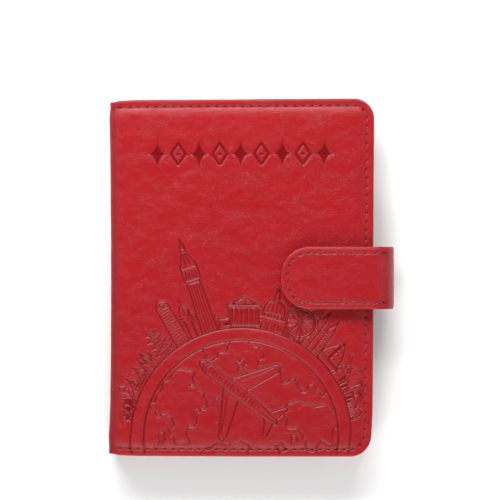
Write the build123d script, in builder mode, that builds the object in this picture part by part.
"""Passport holder wallet: a leather book cover with a strap that snaps shut.

The wallet lies closed on its back cover. +X points from the spine to the
fore-edge, +Y to the top of the covers and +Z up through the front cover. The
origin is the middle of the back cover's outer face.

Each cover is a stack: outer skin with a turned border, foam, board, lining and
sewn pockets. The spine is a skin, a stiffener and a lining between two fold
lines. The strap is sewn into the back cover's fore-edge, turns round the
fore-edge in a U and snaps onto a stud on the front cover.

The skin is one sheet on the real object. It is divided here at the middle of
each fold, because the two sides of a fold turn against each other. Every fold
axis lies on the outer face of its bend, so that the pieces part and never meet
as the fold opens.
"""

import os
from math import pi

from build123d import *

os.makedirs("parts", exist_ok=True)

# ---------------------------------------------------------------- dimensions
# the closed cover
cover_w = 104.0  # spine to fore-edge
cover_h = 141.0  # along the spine
closed_t = 14.6  # over both covers, without the strap
corner_r = 8.0  # the two corners at the fore-edge

# layers of one cover, from the outside in
skin_t = 0.9
foam_t = 0.6
board_t = 0.7
lining_t = 0.6
border_w = 4.6  # flat sewn border outside the padded area
border_drop = 0.8  # how far the border lies below the padded area

# the folds beside the spine
fold_r = 3.5  # outer radius of the skin in a fold
fold_gap_deg = 4.0  # left open each side of the middle of a fold
stiffener_t = 0.5
spine_lining_t = 0.5

# pockets
lining_inset = 1.0
lining_start = 4.4  # from the spine's outer face
pocket_t = 0.7
slot_t = 0.7  # room in the passport sleeve and the document pocket
seam_w = 3.2
pocket_inset = 1.4
sleeve_w = 76.6
document_w = 95.0
thumb_r = 15.0
card_t = 0.4
card_slot_t = 0.2
card_openings = (20.0, 3.0, -14.0)  # the top edges, rear slot first

# strap
strap_w = 24.4
strap_overhang = 8.25  # past the fore-edge
strap_reach = 36.0  # from the fore-edge to the tip, over the front cover
strap_leather_t = 0.9
strap_lining_t = 0.6
strap_tip_r = 11.2
strap_tongue = 4.3  # sewn length inside the border of the back cover
strap_gap_deg = 1.6

# seam threads, as one continuous ribbon along each stitch line
thread_w = 0.6
thread_t = 0.25
cover_stitch_inset = 2.8
strap_stitch_inset = 2.5

# press snap
snap_from_tip = 12.4
stud_flange_r = 5.5
stud_flange_t = 0.4
stud_neck_r = 1.6
stud_neck_h = 0.7
stud_head_r = 2.1
stud_head_h = 0.7
post_flange_r = 5.0
post_flange_t = 0.35
post_r = 1.0
socket_r = 5.8
socket_t = 1.75
socket_bore_r = 2.75
socket_back_t = 0.25
spring_wire_r = 0.25
spring_r = 2.9  # to the middle of the wire
cap_r = 5.3
cap_t = 0.35
cap_barrel_r = 1.2
cap_rim_r = 1.6
cap_rim_t = 0.1

# ---------------------------------------------------------------- derived
x_spine = -cover_w / 2
x_edge = cover_w / 2
y_top = cover_h / 2
inner_t = skin_t + foam_t + board_t  # outer face to the lining
cover_t = inner_t + lining_t
x_fold = x_spine + fold_r  # where the flat skin starts
x_lining = x_spine + lining_start
recess_x0 = x_spine + 6.0
recess_x1 = x_edge - border_w - 0.8
recess_y = y_top - border_w - 0.8
fold_axis = fold_r * (1 - 2.5 / 3.5)  # the fold axis, in from both outer faces
z_back_slot = cover_t
z_back_panel = cover_t + slot_t
z_back_inner = z_back_panel + pocket_t
z_front = closed_t - cover_t  # inner face of the front cover's lining
z_document = z_front - slot_t  # outer side of the document panel
z_cards = z_document - pocket_t
card_pitch = card_t + card_slot_t

# the strap's U: leather outside, lining inside, meeting on a circle
z_root = inner_t  # the leather lies under the lining of the back cover
z_tab = closed_t + stud_flange_t + 0.15 + socket_t + strap_lining_t
u_r = (z_tab - z_root) / 2
u_z = (z_tab + z_root) / 2
u_x = x_edge + strap_overhang - u_r - strap_leather_t
u_axis = (u_r + (strap_leather_t - strap_lining_t) / 2) * pi / 4
x_tip = x_edge - strap_reach
x_snap = x_tip + snap_from_tip
z_tab_bottom = z_tab - strap_lining_t
strap_top = z_tab + strap_leather_t

print("fold axes", x_spine + fold_axis, fold_axis, closed_t - fold_axis)
print("strap axes", u_x + u_axis, u_z - u_axis, u_z + u_axis)
print("snap", x_snap, "tab bottom", z_tab_bottom, "strap top", strap_top)
print("passport space", z_back_inner, z_cards - card_pitch * len(card_openings))

# ================================================================ back cover
# Skin: padded area at z 0, border above it, a recess inside for foam and board.
with BuildPart() as back_cover_skin:
    with BuildSketch(Plane.XY.offset(border_drop)) as sk:
        with Locations(((x_fold + x_edge) / 2, 0)):
            Rectangle(x_edge - x_fold, cover_h)
        fillet(sk.vertices().group_by(Axis.X)[-1], radius=corner_r)
    extrude(amount=inner_t - border_drop)
    with BuildSketch(Plane((0, 0, border_drop), x_dir=(1, 0, 0), z_dir=(0, 0, -1))) as sk:
        with Locations(((x_spine - 8 + x_edge - border_w) / 2, 0)):
            Rectangle(x_edge - border_w - x_spine + 8, cover_h - 2 * border_w)
        fillet(sk.vertices().group_by(Axis.X)[-1], radius=corner_r - border_w + 0.8)
    extrude(amount=border_drop, taper=45)
    split(bisect_by=Plane.YZ.offset(x_fold), keep=Keep.TOP)
    with Locations(((recess_x0 + recess_x1) / 2, 0, skin_t)):
        Box(
            recess_x1 - recess_x0,
            2 * recess_y,
            inner_t - skin_t,
            align=(Align.CENTER, Align.CENTER, Align.MIN),
            mode=Mode.SUBTRACT,
        )
    # notch for the strap's tongue
    with Locations((x_edge - strap_tongue, 0, inner_t - strap_leather_t)):
        Box(
            strap_tongue + 1,
            strap_w + 0.1,
            strap_leather_t,
            align=(Align.MIN, Align.CENTER, Align.MIN),
            mode=Mode.SUBTRACT,
        )
    # this cover's half of the fold
    with BuildSketch(Plane.XZ):
        with BuildLine():
            o = CenterArc((x_fold, fold_r), fold_r, 225 + fold_gap_deg, 45 - fold_gap_deg)
            i = CenterArc((x_fold, fold_r), fold_r - skin_t, 225 + fold_gap_deg, 45 - fold_gap_deg)
            Line(o @ 0, i @ 0)
            Line(o @ 1, i @ 1)
        make_face()
    extrude(amount=cover_h / 2, both=True)
back_cover_skin.part.label = "back_cover_skin"

with BuildPart() as back_cover_foam:
    with Locations(((recess_x0 + recess_x1) / 2, 0, skin_t)):
        Box(
            recess_x1 - recess_x0 - 0.2,
            2 * recess_y - 0.2,
            foam_t,
            align=(Align.CENTER, Align.CENTER, Align.MIN),
        )
    fillet(back_cover_foam.edges().filter_by(Axis.Z), radius=2)
back_cover_foam.part.label = "back_cover_foam"

with BuildPart() as back_cover_board:
    with Locations(((recess_x0 + recess_x1) / 2, 0, skin_t + foam_t)):
        Box(
            recess_x1 - recess_x0 - 0.2,
            2 * recess_y - 0.2,
            board_t,
            align=(Align.CENTER, Align.CENTER, Align.MIN),
        )
    fillet(back_cover_board.edges().filter_by(Axis.Z), radius=2)
back_cover_board.part.label = "back_cover_board"

with BuildPart() as back_cover_lining:
    with BuildSketch(Plane.XY.offset(inner_t)) as sk:
        with Locations(((x_lining + x_edge - lining_inset) / 2, 0)):
            Rectangle(x_edge - lining_inset - x_lining, cover_h - 2 * lining_inset)
        fillet(sk.vertices().group_by(Axis.X)[-1], radius=corner_r - lining_inset)
    extrude(amount=lining_t)
back_cover_lining.part.label = "back_cover_lining"

# Seam thread on the border, along the top, the fore-edge and the bottom.
stitch_out = cover_stitch_inset - thread_w / 2
stitch_in = cover_stitch_inset + thread_w / 2
x_thread = x_fold + 0.8
with BuildPart() as back_cover_seam_thread:
    with BuildSketch(Plane.XY.offset(border_drop - thread_t)) as sk:
        with Locations(((x_thread - 20 + x_edge - stitch_out) / 2, 0)):
            Rectangle(x_edge - stitch_out - x_thread + 20, 2 * (y_top - stitch_out))
        fillet(sk.vertices().group_by(Axis.X)[-1], radius=corner_r - stitch_out)
        with BuildSketch(Plane.XY.offset(border_drop - thread_t), mode=Mode.SUBTRACT) as cut:
            with Locations(((x_thread - 30 + x_edge - stitch_in) / 2, 0)):
                Rectangle(x_edge - stitch_in - x_thread + 30, 2 * (y_top - stitch_in))
            fillet(cut.vertices().group_by(Axis.X)[-1], radius=corner_r - stitch_in)
    extrude(amount=thread_t)
    split(bisect_by=Plane.YZ.offset(x_thread), keep=Keep.TOP)
back_cover_seam_thread.part.label = "back_cover_seam_thread"

# Passport sleeve: a panel sewn along three sides, open towards the spine.
x_pocket = x_edge - pocket_inset
y_pocket = y_top - pocket_inset
with BuildPart() as passport_sleeve_panel:
    with BuildSketch(Plane.XY.offset(z_back_panel)) as sk:
        with Locations((x_pocket - sleeve_w / 2, 0)):
            Rectangle(sleeve_w, 2 * y_pocket)
        fillet(sk.vertices().group_by(Axis.X)[-1], radius=corner_r - pocket_inset)
        with Locations((x_pocket - sleeve_w - 6, 0)):
            Circle(thumb_r, mode=Mode.SUBTRACT)
    extrude(amount=pocket_t)
passport_sleeve_panel.part.label = "passport_sleeve_panel"

with BuildPart() as passport_sleeve_seams:
    with BuildSketch(Plane.XY.offset(z_back_slot)):
        with Locations(
            (x_pocket - sleeve_w / 2 - 3.5, y_pocket - seam_w / 2),
            (x_pocket - sleeve_w / 2 - 3.5, seam_w / 2 - y_pocket),
        ):
            Rectangle(sleeve_w - 7, seam_w)
        with Locations((x_pocket - seam_w / 2, 0)):
            Rectangle(seam_w, 2 * y_pocket - 14)
    extrude(amount=slot_t)
passport_sleeve_seams.part.label = "passport_sleeve_seams"

# ================================================================ spine
with BuildPart() as spine_skin:
    with BuildSketch(Plane.XZ):
        with Locations((x_spine + skin_t / 2, closed_t / 2)):
            Rectangle(skin_t, closed_t - 2 * fold_r)
    extrude(amount=cover_h / 2, both=True)
    with BuildSketch(Plane.XZ):
        with BuildLine():
            o = CenterArc((x_fold, fold_r), fold_r, 180, 45 - fold_gap_deg)
            i = CenterArc((x_fold, fold_r), fold_r - skin_t, 180, 45 - fold_gap_deg)
            Line(o @ 0, i @ 0)
            Line(o @ 1, i @ 1)
        make_face()
    extrude(amount=cover_h / 2, both=True)
    with BuildSketch(Plane.XZ):
        with BuildLine():
            o = CenterArc(
                (x_fold, closed_t - fold_r), fold_r, 135 + fold_gap_deg, 45 - fold_gap_deg
            )
            i = CenterArc(
                (x_fold, closed_t - fold_r),
                fold_r - skin_t,
                135 + fold_gap_deg,
                45 - fold_gap_deg,
            )
            Line(o @ 0, i @ 0)
            Line(o @ 1, i @ 1)
        make_face()
    extrude(amount=cover_h / 2, both=True)
spine_skin.part.label = "spine_skin"

with BuildPart() as spine_stiffener:
    with Locations((x_spine + skin_t, 0, closed_t / 2)):
        Box(
            stiffener_t,
            cover_h - 3,
            closed_t - 2 * fold_r,
            align=(Align.MIN, Align.CENTER, Align.CENTER),
        )
spine_stiffener.part.label = "spine_stiffener"

with BuildPart() as spine_lining:
    with Locations((x_spine + skin_t + stiffener_t, 0, closed_t / 2)):
        Box(
            spine_lining_t,
            cover_h - 2 * lining_inset,
            closed_t - 2 * fold_r + 0.4,
            align=(Align.MIN, Align.CENTER, Align.CENTER),
        )
spine_lining.part.label = "spine_lining"

# ================================================================ front cover
with BuildPart() as front_cover_skin:
    with BuildSketch(Plane.XY.offset(closed_t - inner_t)) as sk:
        with Locations(((x_fold + x_edge) / 2, 0)):
            Rectangle(x_edge - x_fold, cover_h)
        fillet(sk.vertices().group_by(Axis.X)[-1], radius=corner_r)
    extrude(amount=inner_t - border_drop)
    with BuildSketch(Plane.XY.offset(closed_t - border_drop)) as sk:
        with Locations(((x_spine - 8 + x_edge - border_w) / 2, 0)):
            Rectangle(x_edge - border_w - x_spine + 8, cover_h - 2 * border_w)
        fillet(sk.vertices().group_by(Axis.X)[-1], radius=corner_r - border_w + 0.8)
    extrude(amount=border_drop, taper=45)
    split(bisect_by=Plane.YZ.offset(x_fold), keep=Keep.TOP)
    with Locations(((recess_x0 + recess_x1) / 2, 0, closed_t - inner_t)):
        Box(
            recess_x1 - recess_x0,
            2 * recess_y,
            inner_t - skin_t,
            align=(Align.CENTER, Align.CENTER, Align.MIN),
            mode=Mode.SUBTRACT,
        )
    # hole for the stud's post
    with Locations((x_snap, 0, closed_t)):
        Hole(radius=post_r + 0.02, depth=3)
    with BuildSketch(Plane.XZ):
        with BuildLine():
            o = CenterArc((x_fold, closed_t - fold_r), fold_r, 90, 45 - fold_gap_deg)
            i = CenterArc((x_fold, closed_t - fold_r), fold_r - skin_t, 90, 45 - fold_gap_deg)
            Line(o @ 0, i @ 0)
            Line(o @ 1, i @ 1)
        make_face()
    extrude(amount=cover_h / 2, both=True)
front_cover_skin.part.label = "front_cover_skin"

with BuildPart() as front_cover_foam:
    with Locations(((recess_x0 + recess_x1) / 2, 0, closed_t - skin_t)):
        Box(
            recess_x1 - recess_x0 - 0.2,
            2 * recess_y - 0.2,
            foam_t,
            align=(Align.CENTER, Align.CENTER, Align.MAX),
        )
    fillet(front_cover_foam.edges().filter_by(Axis.Z), radius=2)
    # room for the post's flange
    with Locations((x_snap, 0, closed_t - skin_t - foam_t / 2)):
        Cylinder(post_flange_r + 0.1, foam_t + 0.2, mode=Mode.SUBTRACT)
front_cover_foam.part.label = "front_cover_foam"

with BuildPart() as front_cover_board:
    with Locations(((recess_x0 + recess_x1) / 2, 0, closed_t - skin_t - foam_t)):
        Box(
            recess_x1 - recess_x0 - 0.2,
            2 * recess_y - 0.2,
            board_t,
            align=(Align.CENTER, Align.CENTER, Align.MAX),
        )
    fillet(front_cover_board.edges().filter_by(Axis.Z), radius=2)
front_cover_board.part.label = "front_cover_board"

with BuildPart() as front_cover_lining:
    with BuildSketch(Plane.XY.offset(z_front)) as sk:
        with Locations(((x_lining + x_edge - lining_inset) / 2, 0)):
            Rectangle(x_edge - lining_inset - x_lining, cover_h - 2 * lining_inset)
        fillet(sk.vertices().group_by(Axis.X)[-1], radius=corner_r - lining_inset)
    extrude(amount=lining_t)
front_cover_lining.part.label = "front_cover_lining"

with BuildPart() as front_cover_seam_thread:
    with BuildSketch(Plane.XY.offset(closed_t - border_drop)) as sk:
        with Locations(((x_thread - 20 + x_edge - stitch_out) / 2, 0)):
            Rectangle(x_edge - stitch_out - x_thread + 20, 2 * (y_top - stitch_out))
        fillet(sk.vertices().group_by(Axis.X)[-1], radius=corner_r - stitch_out)
        with BuildSketch(Plane.XY.offset(closed_t - border_drop), mode=Mode.SUBTRACT) as cut:
            with Locations(((x_thread - 30 + x_edge - stitch_in) / 2, 0)):
                Rectangle(x_edge - stitch_in - x_thread + 30, 2 * (y_top - stitch_in))
            fillet(cut.vertices().group_by(Axis.X)[-1], radius=corner_r - stitch_in)
    extrude(amount=thread_t)
    split(bisect_by=Plane.YZ.offset(x_thread), keep=Keep.TOP)
front_cover_seam_thread.part.label = "front_cover_seam_thread"

# Document pocket: full height, open towards the spine.
with BuildPart() as document_pocket_panel:
    with BuildSketch(Plane.XY.offset(z_document - pocket_t)) as sk:
        with Locations((x_pocket - document_w / 2, 0)):
            Rectangle(document_w, 2 * y_pocket)
        fillet(sk.vertices().group_by(Axis.X)[-1], radius=corner_r - pocket_inset)
    extrude(amount=pocket_t)
document_pocket_panel.part.label = "document_pocket_panel"

with BuildPart() as document_pocket_seams:
    with BuildSketch(Plane.XY.offset(z_document)):
        with Locations(
            (x_pocket - document_w / 2 - 3.5, y_pocket - seam_w / 2),
            (x_pocket - document_w / 2 - 3.5, seam_w / 2 - y_pocket),
        ):
            Rectangle(document_w - 7, seam_w)
        with Locations((x_pocket - seam_w / 2, 0)):
            Rectangle(seam_w, 2 * y_pocket - 14)
    extrude(amount=slot_t)
document_pocket_seams.part.label = "document_pocket_seams"

# Three card slots, lapped like shingles and open to the top.
card_h = [y + y_pocket for y in card_openings]
with BuildPart() as card_slot_rear:
    with BuildSketch(Plane.XY.offset(z_cards - card_pitch)) as sk:
        with Locations((x_pocket - document_w / 2, card_h[0] / 2 - y_pocket)):
            Rectangle(document_w, card_h[0])
        fillet(sk.vertices().group_by(Axis.X)[-1].sort_by(Axis.Y)[0:1], radius=corner_r - pocket_inset)
    extrude(amount=card_t)
card_slot_rear.part.label = "card_slot_rear"

with BuildPart() as card_slot_middle:
    with BuildSketch(Plane.XY.offset(z_cards - 2 * card_pitch)) as sk:
        with Locations((x_pocket - document_w / 2, card_h[1] / 2 - y_pocket)):
            Rectangle(document_w, card_h[1])
        fillet(sk.vertices().group_by(Axis.X)[-1].sort_by(Axis.Y)[0:1], radius=corner_r - pocket_inset)
    extrude(amount=card_t)
card_slot_middle.part.label = "card_slot_middle"

with BuildPart() as card_slot_front:
    with BuildSketch(Plane.XY.offset(z_cards - 3 * card_pitch)) as sk:
        with Locations((x_pocket - document_w / 2, card_h[2] / 2 - y_pocket)):
            Rectangle(document_w, card_h[2])
        fillet(sk.vertices().group_by(Axis.X)[-1].sort_by(Axis.Y)[0:1], radius=corner_r - pocket_inset)
    extrude(amount=card_t)
card_slot_front.part.label = "card_slot_front"

# The sewn edges between the card slots: sides and bottom, open at the top.
with BuildPart() as card_slot_seams:
    for level, height in enumerate(card_h):
        with BuildSketch(Plane.XY.offset(z_cards - card_slot_t - level * card_pitch)):
            with Locations((x_pocket - document_w + seam_w / 2, height / 2 - y_pocket)):
                Rectangle(seam_w, height)
            with Locations((x_pocket - seam_w / 2, height / 2 - y_pocket + 3.5)):
                Rectangle(seam_w, height - 7)
            with Locations((x_pocket - document_w / 2 - 2, seam_w / 2 - y_pocket)):
                Rectangle(document_w - 2 * seam_w - 5, seam_w)
        extrude(amount=card_slot_t)
card_slot_seams.part.label = "card_slot_seams"

# ================================================================ press snap, front cover side
z_stud = closed_t + stud_flange_t
with BuildPart() as snap_stud:
    with BuildSketch(Plane.XZ):
        with BuildLine():
            Polyline(
                (x_snap + post_r + 0.02, closed_t),
                (x_snap + stud_flange_r, closed_t),
                (x_snap + stud_flange_r, closed_t + stud_flange_t * 0.5),
                (x_snap + stud_flange_r - 0.5, z_stud),
                (x_snap + stud_neck_r + 0.5, z_stud),
                (x_snap + stud_neck_r, z_stud + 0.2),
                (x_snap + stud_neck_r, z_stud + stud_neck_h - 0.1),
                (x_snap + stud_head_r, z_stud + stud_neck_h + 0.15),
                (x_snap + stud_head_r, z_stud + stud_neck_h + 0.4),
                (x_snap + stud_head_r - 0.45, z_stud + stud_neck_h + stud_head_h),
                (x_snap + 0.0, z_stud + stud_neck_h + stud_head_h),
                (x_snap + 0.0, z_stud + stud_neck_h + 0.2),
                (x_snap + post_r + 0.02, z_stud + stud_neck_h + 0.2),
                close=True,
            )
        make_face()
    revolve(axis=Axis((x_snap, 0, 0), (0, 0, 1)))
snap_stud.part.label = "snap_stud"

with BuildPart() as snap_stud_post:
    with Locations((x_snap, 0, closed_t - skin_t - post_flange_t)):
        Cylinder(
            post_flange_r, post_flange_t, align=(Align.CENTER, Align.CENTER, Align.MIN)
        )
        Cylinder(
            post_r,
            post_flange_t + skin_t + stud_flange_t + stud_neck_h + 0.15,
            align=(Align.CENTER, Align.CENTER, Align.MIN),
        )
snap_stud_post.part.label = "snap_stud_post"

# ================================================================ strap
# Root: the tongue inside the border and the first eighth of the U.
with BuildPart() as strap_root_leather:
    with Locations((x_edge - strap_tongue, 0, z_root - strap_leather_t)):
        Box(
            u_x - (x_edge - strap_tongue),
            strap_w,
            strap_leather_t,
            align=(Align.MIN, Align.CENTER, Align.MIN),
        )
    with BuildSketch(Plane.XZ):
        with BuildLine():
            o = CenterArc((u_x, u_z), u_r + strap_leather_t, 270, 45 - strap_gap_deg)
            i = CenterArc((u_x, u_z), u_r, 270, 45 - strap_gap_deg)
            Line(o @ 0, i @ 0)
            Line(o @ 1, i @ 1)
        make_face()
    extrude(amount=strap_w / 2, both=True)
strap_root_leather.part.label = "strap_root_leather"

lining_out_r = u_r - 0.02
lining_in_r = u_r - strap_lining_t
with BuildPart() as strap_root_lining:
    with BuildSketch(Plane.XZ):
        with BuildLine():
            o = CenterArc((u_x, u_z), lining_out_r, 272, 43 - strap_gap_deg)
            i = CenterArc((u_x, u_z), lining_in_r, 272, 43 - strap_gap_deg)
            Line(o @ 0, i @ 0)
            Line(o @ 1, i @ 1)
        make_face()
    extrude(amount=strap_w / 2, both=True)
strap_root_lining.part.label = "strap_root_lining"

with BuildPart() as strap_bridge_leather:
    with BuildSketch(Plane.XZ):
        with BuildLine():
            o = CenterArc(
                (u_x, u_z), u_r + strap_leather_t, 315 + strap_gap_deg, 90 - 2 * strap_gap_deg
            )
            i = CenterArc((u_x, u_z), u_r, 315 + strap_gap_deg, 90 - 2 * strap_gap_deg)
            Line(o @ 0, i @ 0)
            Line(o @ 1, i @ 1)
        make_face()
    extrude(amount=strap_w / 2, both=True)
strap_bridge_leather.part.label = "strap_bridge_leather"

with BuildPart() as strap_bridge_lining:
    with BuildSketch(Plane.XZ):
        with BuildLine():
            o = CenterArc((u_x, u_z), lining_out_r, 315 + strap_gap_deg, 90 - 2 * strap_gap_deg)
            i = CenterArc((u_x, u_z), lining_in_r, 315 + strap_gap_deg, 90 - 2 * strap_gap_deg)
            Line(o @ 0, i @ 0)
            Line(o @ 1, i @ 1)
        make_face()
    extrude(amount=strap_w / 2, both=True)
strap_bridge_lining.part.label = "strap_bridge_lining"

# Tab: the last eighth of the U and the flat end with its rounded tip.
with BuildPart() as strap_tab_leather:
    with BuildSketch(Plane.XY.offset(z_tab)) as sk:
        with Locations(((x_tip + u_x) / 2, 0)):
            Rectangle(u_x - x_tip, strap_w)
        fillet(sk.vertices().group_by(Axis.X)[0], radius=strap_tip_r)
    extrude(amount=strap_leather_t)
    with BuildSketch(Plane.XZ):
        with BuildLine():
            o = CenterArc(
                (u_x, u_z), u_r + strap_leather_t, 45 + strap_gap_deg, 45 - strap_gap_deg
            )
            i = CenterArc((u_x, u_z), u_r, 45 + strap_gap_deg, 45 - strap_gap_deg)
            Line(o @ 0, i @ 0)
            Line(o @ 1, i @ 1)
        make_face()
    extrude(amount=strap_w / 2, both=True)
strap_tab_leather.part.label = "strap_tab_leather"

with BuildPart() as strap_tab_lining:
    with BuildSketch(Plane.XY.offset(z_tab_bottom)) as sk:
        with Locations(((x_tip + 0.4 + u_x) / 2, 0)):
            Rectangle(u_x - x_tip - 0.4, strap_w)
        fillet(sk.vertices().group_by(Axis.X)[0], radius=strap_tip_r)
    extrude(amount=strap_lining_t - 0.02)
    with BuildSketch(Plane.XZ):
        with BuildLine():
            o = CenterArc((u_x, u_z), lining_out_r, 45 + strap_gap_deg, 45 - strap_gap_deg)
            i = CenterArc((u_x, u_z), lining_in_r, 45 + strap_gap_deg, 45 - strap_gap_deg)
            Line(o @ 0, i @ 0)
            Line(o @ 1, i @ 1)
        make_face()
    extrude(amount=strap_w / 2, both=True)
    # seat for the hidden cap, and the hole for its barrel
    with Locations((x_snap, 0, z_tab)):
        Hole(radius=cap_r + 0.05, depth=cap_t)
        Hole(radius=cap_barrel_r + 0.02, depth=3)
strap_tab_lining.part.label = "strap_tab_lining"

# Seam thread on the tab, along both sides and round the tip.
tab_out = strap_stitch_inset - thread_w / 2
tab_in = strap_stitch_inset + thread_w / 2
with BuildPart() as strap_seam_thread:
    with BuildSketch(Plane.XY.offset(strap_top)) as sk:
        with Locations(((x_tip + tab_out + u_x + 20) / 2, 0)):
            Rectangle(u_x + 20 - x_tip - tab_out, strap_w - 2 * tab_out)
        fillet(sk.vertices().group_by(Axis.X)[0], radius=strap_tip_r - tab_out)
        with BuildSketch(Plane.XY.offset(strap_top), mode=Mode.SUBTRACT) as cut:
            with Locations(((x_tip + tab_in + u_x + 30) / 2, 0)):
                Rectangle(u_x + 30 - x_tip - tab_in, strap_w - 2 * tab_in)
            fillet(cut.vertices().group_by(Axis.X)[0], radius=strap_tip_r - tab_in)
    extrude(amount=thread_t)
    split(bisect_by=Plane.YZ.offset(u_x), keep=Keep.BOTTOM)
strap_seam_thread.part.label = "strap_seam_thread"

# Snap, strap side: a hidden cap, whose barrel is rolled over inside the socket.
with BuildPart() as snap_cap:
    with Locations((x_snap, 0, z_tab)):
        Cylinder(cap_r, cap_t, align=(Align.CENTER, Align.CENTER, Align.MAX))
        Cylinder(
            cap_barrel_r,
            strap_lining_t + socket_back_t + cap_rim_t,
            align=(Align.CENTER, Align.CENTER, Align.MAX),
        )
    with Locations((x_snap, 0, z_tab_bottom - socket_back_t)):
        Cylinder(cap_rim_r, cap_rim_t, align=(Align.CENTER, Align.CENTER, Align.MAX))
snap_cap.part.label = "snap_cap"

z_socket = z_tab_bottom - socket_t
with BuildPart() as snap_socket:
    with BuildSketch(Plane.XZ):
        with BuildLine():
            Polyline(
                (x_snap + socket_bore_r, z_socket),
                (x_snap + socket_r - 0.6, z_socket),
                (x_snap + socket_r, z_socket + 0.6),
                (x_snap + socket_r, z_tab_bottom),
                (x_snap + cap_barrel_r + 0.02, z_tab_bottom),
                (x_snap + cap_barrel_r + 0.02, z_tab_bottom - socket_back_t),
                (x_snap + spring_r + spring_wire_r + 0.25, z_tab_bottom - socket_back_t),
                (x_snap + spring_r + spring_wire_r + 0.25, z_socket + 0.35),
                (x_snap + socket_bore_r, z_socket + 0.35),
                close=True,
            )
        make_face()
    revolve(axis=Axis((x_snap, 0, 0), (0, 0, 1)))
snap_socket.part.label = "snap_socket"

with BuildPart() as snap_spring:
    with BuildSketch(Plane.XZ):
        with Locations((x_snap + spring_r, z_socket + 0.35 + spring_wire_r + 0.03)):
            Circle(spring_wire_r)
    revolve(axis=Axis((x_snap, 0, 0), (0, 0, 1)), revolution_arc=325)
snap_spring.part.label = "snap_spring"

# ================================================================ export
for name in (
    back_cover_skin,
    back_cover_foam,
    back_cover_board,
    back_cover_lining,
    back_cover_seam_thread,
    passport_sleeve_panel,
    passport_sleeve_seams,
    spine_skin,
    spine_stiffener,
    spine_lining,
    front_cover_skin,
    front_cover_foam,
    front_cover_board,
    front_cover_lining,
    front_cover_seam_thread,
    document_pocket_panel,
    document_pocket_seams,
    card_slot_rear,
    card_slot_middle,
    card_slot_front,
    card_slot_seams,
    snap_stud,
    snap_stud_post,
    strap_root_leather,
    strap_root_lining,
    strap_bridge_leather,
    strap_bridge_lining,
    strap_tab_leather,
    strap_tab_lining,
    strap_seam_thread,
    snap_cap,
    snap_socket,
    snap_spring,
):
    export_step(name.part, f"parts/{name.part.label}.step")
